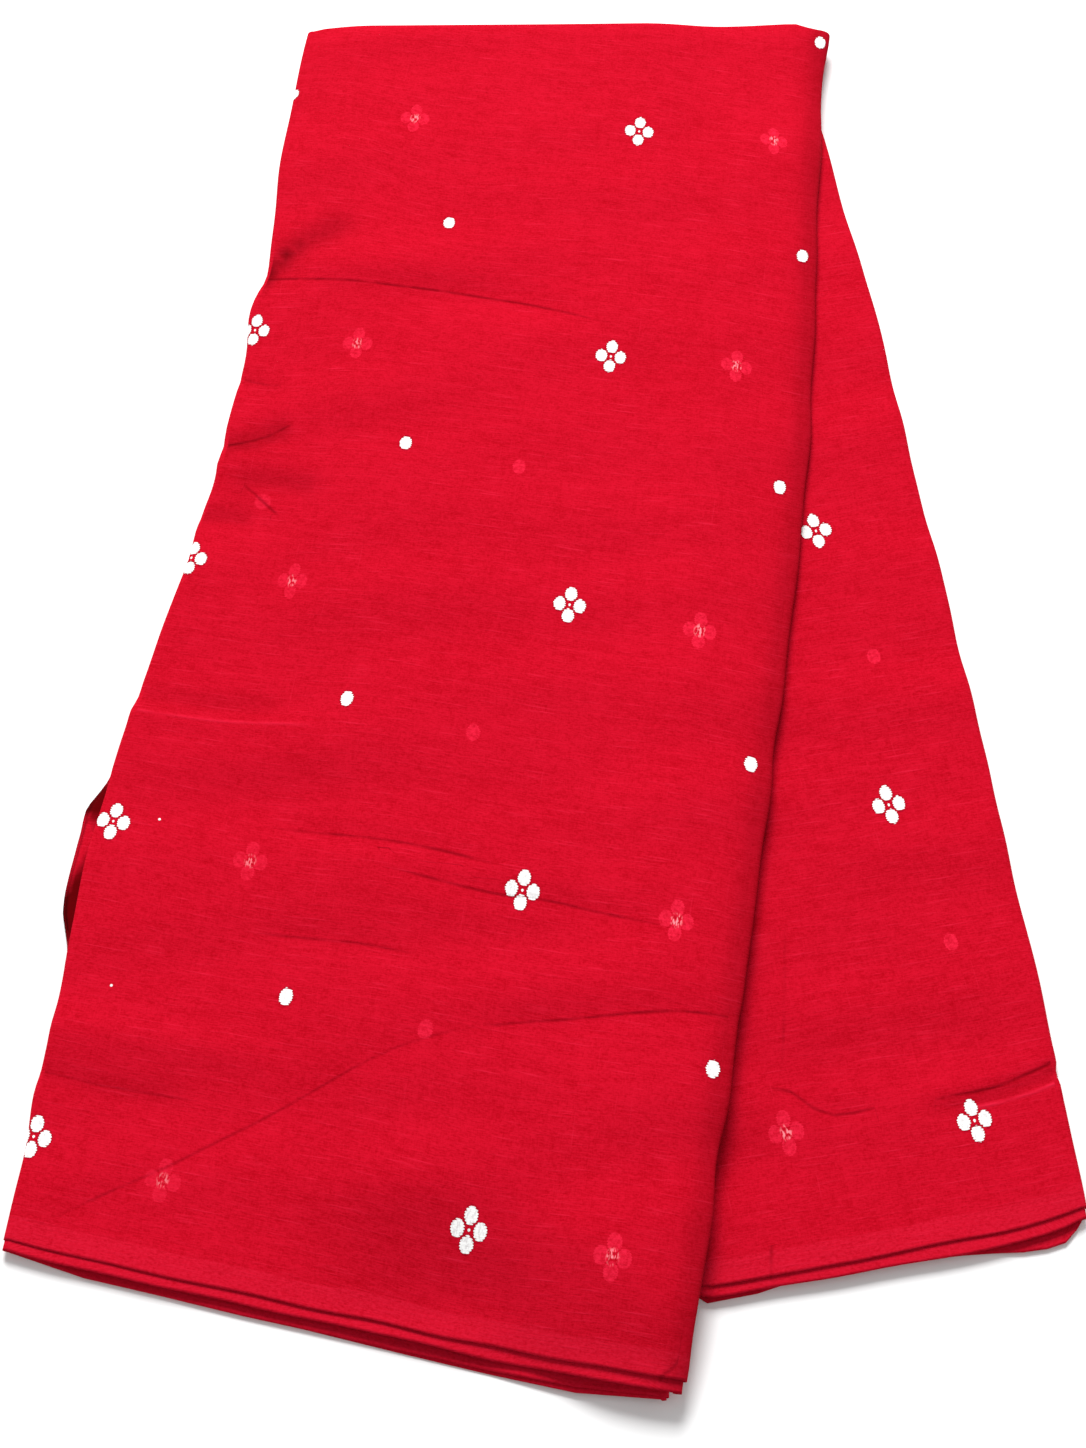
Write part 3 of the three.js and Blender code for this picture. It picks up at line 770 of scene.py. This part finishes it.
# The pattern of the ply beneath glimmers through: a patchy body with a brighter rim and
# streaks at the heart, more on the right, where the plies lie closer.
def glimmerColor(nodes, weave, uvBeneath, x, y, away, color, look):
    own = look["beneath"]
    shape, heart = inlayShape(nodes, uvBeneath, look, own["ragged"])
    seen = nodes.maths("MULTIPLY", away, nodes.ramp(x, *own["sideRange"], own["sideLeast"], 1))
    hidden = spot(nodes, x, y, own["hiddenSpot"], own["hiddenSize"], look)
    seen = nodes.maths("MULTIPLY", seen, nodes.maths("SUBTRACT", 1, hidden))
    seen = nodes.maths("MULTIPLY", seen, nodes.ramp(y, *own["farRange"]))
    patches = nodes.noise(weave, own["patchGrains"], own["patchGrains"], 3, 0.7)
    patchy = nodes.ramp(patches, *own["patchRange"], own["patchLeast"], 1)
    rim = nodes.maths("MULTIPLY", nodes.ramp(shape, *own["rimOuter"]), nodes.ramp(shape, *own["rimInner"]))
    body = nodes.maths("MULTIPLY", nodes.ramp(shape, *own["body"]), patchy)
    glimmer = nodes.maths("MULTIPLY", nodes.maths("MULTIPLY_ADD", rim, own["rimShare"], body), seen)
    stray = nodes.maths("MULTIPLY", spot(nodes, x, y, own["straySpot"], own["straySize"], look), patchy)
    stray = nodes.maths("MULTIPLY", stray, own["strayShare"])
    color = nodes.blend(nodes.maths("MAXIMUM", glimmer, stray), color, look["ghost"])
    streaks = nodes.noise(uvBeneath, *own["streaks"], 1)
    streaky = nodes.ramp(streaks, *own["streakRange"], 0, own["streakMost"])
    lit = nodes.maths("MULTIPLY", nodes.ramp(heart, *own["heart"]), streaky)
    return nodes.blend(nodes.maths("MULTIPLY", lit, seen), color, look["ghostHeart"])


# Crease lines of painted shade: dark * bell(distance / width), broken up a little along the line.
# Above 0 it is painted shade, below 0 a painted highlight.
def creaseShade(nodes, weave, look):
    own, total = look["crease"], 0.0
    for layer in (0, 1):
        share = nodes.maths("MULTIPLY", nodes.mark(f"creaseAway{layer}"), 1 / own["width"])
        square = nodes.maths("MULTIPLY", share, share)
        fall = nodes.maths("EXPONENT", nodes.maths("MULTIPLY", square, -1))
        dark = nodes.maths("MULTIPLY", fall, nodes.mark(f"creaseDark{layer}"))
        total = nodes.maths("ADD", dark, total)
    breaks = nodes.noise(weave, own["grains"], own["grains"])
    return nodes.maths("MULTIPLY", total, nodes.ramp(breaks, *own["breaks"], own["least"], 1))


# Painted shade and highlight on crease lines, then painted shade in hollow, crease and fold.
def creaseColor(nodes, crease, color, look):
    dark = nodes.maths("MULTIPLY", nodes.maths("MAXIMUM", crease, 0), look["crease"]["share"])
    color = nodes.blend(dark, color, look["creaseShadeRed"])
    lit = nodes.maths("MULTIPLY", nodes.maths("MINIMUM", crease, 0), -1)
    color = nodes.blend(lit, color, look["slubAndCreaseHighlightRed"])
    return nodes.blend(nodes.mark("paintedShade"), color, look["paintedShadeRed"])


# The inlaid pattern itself, with a thin dark outline of painted shade where it lies proud of the ground.
def inlayColor(nodes, weave, x, y, away, color, look):
    own = look["inlay"]
    shape, _ = inlayShape(nodes, weave, look, own["ragged"])
    # Painted shade along the rim where the inlay lies proud.
    outline = nodes.maths("MULTIPLY", nodes.ramp(shape, *own["outline"], 0, own["outlineMost"]), away)
    color = nodes.blend(outline, color, look["inlayRimShade"])
    inlay = nodes.maths("MULTIPLY", nodes.ramp(shape, *own["rim"]), away)
    for fleck in look["flecks"]:
        inlay = nodes.maths("MAXIMUM", inlay, spot(nodes, x, y, fleck, look["fleckSize"], look))
    yarn = nodes.ramp(nodes.noise(weave, *own["yarn"], 2, 0.6), *own["yarnRange"])
    white = nodes.blend(yarn, look["inlayShade"], look["inlayWhite"])
    return nodes.blend(inlay, color, white), inlay


# The cotton's colour in layers from the ground up, and one relief of threads, slubs, inlay
# and creases.
def makeCotton(look):
    material = bpy.data.materials.new("red_cotton")
    nodes = shaderNodes(material)
    weave, uvBeneath = (nodes.add("ShaderNodeUVMap", uv_map=name).outputs[0] for name in ("weave", "beneath"))
    place = nodes.add("ShaderNodeSeparateXYZ", {0: nodes.add("ShaderNodeTexCoord").outputs["Object"]})
    x, y = place.outputs[0], place.outputs[1]
    edge = nodes.mark("toSelvedge")
    away = nodes.ramp(edge, *look["plainEdge"])
    color, tone, slubs = groundColor(nodes, weave, look)
    color = bandColor(nodes, weave, edge, color, look)
    color = glimmerColor(nodes, weave, uvBeneath, x, y, away, color, look)
    crease = creaseShade(nodes, weave, look)
    color = creaseColor(nodes, crease, color, look)
    color, inlay = inlayColor(nodes, weave, x, y, away, color, look)
    own = look["relief"]
    relief = nodes.maths("MULTIPLY", slubs, own["slubs"])
    for value, share in ((tone, own["tone"]), (inlay, own["inlay"]), (crease, own["crease"])):
        relief = nodes.maths("MULTIPLY_ADD", value, share, relief)
    bump = nodes.add("ShaderNodeBump", {"Strength": own["strength"], "Distance": own["distance"],
                                        "Height": relief})
    shader = nodes.add("ShaderNodeBsdfPrincipled", {
        "Base Color": color, "Roughness": look["roughness"], "Normal": bump.outputs[0],
        "Specular IOR Level": look["gloss"]})
    output = nodes.add("ShaderNodeOutputMaterial")
    nodes.tree.links.new(shader.outputs[0], output.inputs[0])
    print("cotton made")
    return material


table = {"color": (0.93, 0.93, 0.93, 1), "roughness": 0.9, "halfSize": 4.0}


# A large level square at the height on which the cloth lies.
def makeTable(look):
    material = bpy.data.materials.new("pale_table")
    nodes = shaderNodes(material)
    shader = nodes.add("ShaderNodeBsdfPrincipled", {"Base Color": look["color"],
                                                    "Roughness": look["roughness"]})
    output = nodes.add("ShaderNodeOutputMaterial")
    nodes.tree.links.new(shader.outputs[0], output.inputs[0])
    h = look["halfSize"]
    mesh = bpy.data.meshes.new("table")
    mesh.from_pydata([(-h, -h, 0), (h, -h, 0), (h, h, 0), (-h, h, 0)], [], [(0, 1, 2, 3)])
    mesh.materials.append(material)
    floor = bpy.data.objects.new("table", mesh)
    bpy.context.scene.collection.objects.link(floor)
    print("table laid")


light = {
    "key": {"at": (-0.3, 2.6, 2.4), "size": 1.6, "power": 187},
    "sky": 0.5,
    "skyColor": (1, 1, 1, 1),
}


# Soft key light from above and behind the far left corner, and an even pale surround.
def makeLight(setup):
    data = bpy.data.lights.new("key", "AREA")
    data.size = setup["key"]["size"]
    data.energy = setup["key"]["power"]
    lamp = bpy.data.objects.new("key", data)
    lamp.location = setup["key"]["at"]
    x, y, z = setup["key"]["at"]
    lamp.rotation_euler = (math.atan2(math.hypot(x, y), z), 0, math.atan2(x, -y))
    bpy.context.scene.collection.objects.link(lamp)
    world = bpy.data.worlds.new("surround")
    world.use_nodes = True
    sky = world.node_tree.nodes["Background"]
    sky.inputs[0].default_value = setup["skyColor"]
    sky.inputs[1].default_value = setup["sky"]
    bpy.context.scene.world = world
    print("light set")


camera = {"at": (-0.0005, -0.4375, 0.806), "tilt": 26.2, "focus": 59.67, "clipStart": 0.05}


# It looks down from the near side. Its place is measured from the same point as the folds.
def makeCamera(view):
    data = bpy.data.cameras.new("camera")
    data.lens = view["focus"]
    data.clip_start = view["clipStart"]
    body = bpy.data.objects.new("camera", data)
    x, y, z = view["at"]
    body.location = (x - cloth["centre"][0] / 1000, y - cloth["centre"][1] / 1000, z)
    body.rotation_euler = (math.radians(view["tilt"]), 0, 0)
    bpy.context.scene.collection.objects.link(body)
    bpy.context.scene.camera = body
    print("camera placed")


piece, flat = makeCloth(makeCotton(cotton))
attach(piece, "root")
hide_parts("folded_cloth")
makeTable(table)
makeLight(light)
makeCamera(camera)
bpy.context.scene.view_settings.view_transform = "Standard"
